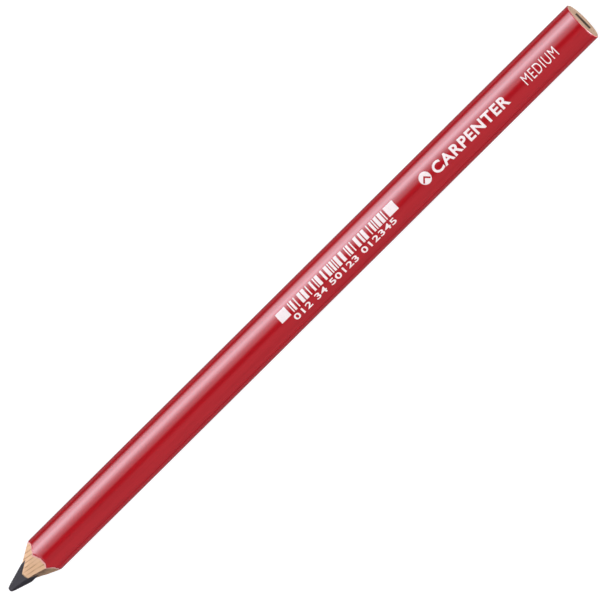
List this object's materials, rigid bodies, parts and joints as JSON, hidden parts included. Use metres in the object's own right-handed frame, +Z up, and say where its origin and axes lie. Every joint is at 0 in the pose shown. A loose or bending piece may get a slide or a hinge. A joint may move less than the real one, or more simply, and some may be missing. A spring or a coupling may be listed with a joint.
{
  "type": "carpenter pencil",
  "caption": "Flat oval carpenter pencil with a rectangular lead in a split wooden casing, red lacquer, foil stamping and a knife-sharpened point.",
  "frame": {"origin": "middle of the pencil's outline on the surface that it lies on, under the lower broad side", "axes": "+X along the pencil towards its sharpened tip, +Y across the broad side towards the small digits' edge, +Z up out of the printed broad side"},
  "size_m": [0.25, 0.0128, 0.0076],
  "materials": {
    "graphite": "soft grey graphite, burnished on the point's flats",
    "casing_wood": "bare knife-cut softwood with brown grain lines",
    "glue": "thin dried wood glue",
    "primer": "thin matt filler coat",
    "lacquer": "high gloss red lacquer",
    "foil": "pale hot-stamped foil"
  },
  "bodies": {
    "root": {"lead_core": "graphite", "casing_slat_upper": "casing_wood", "casing_slat_lower": "casing_wood", "glue_seam_left": "glue", "glue_seam_right": "glue", "lead_bond_upper": "glue", "lead_bond_lower": "glue", "primer_coat": "primer", "lacquer_coat": "lacquer", "foil_bar_strip": "foil", "foil_digit_line": "foil", "foil_emblem": "foil", "foil_word": "foil", "foil_grade": "foil"}
  },
  "joints": []
}
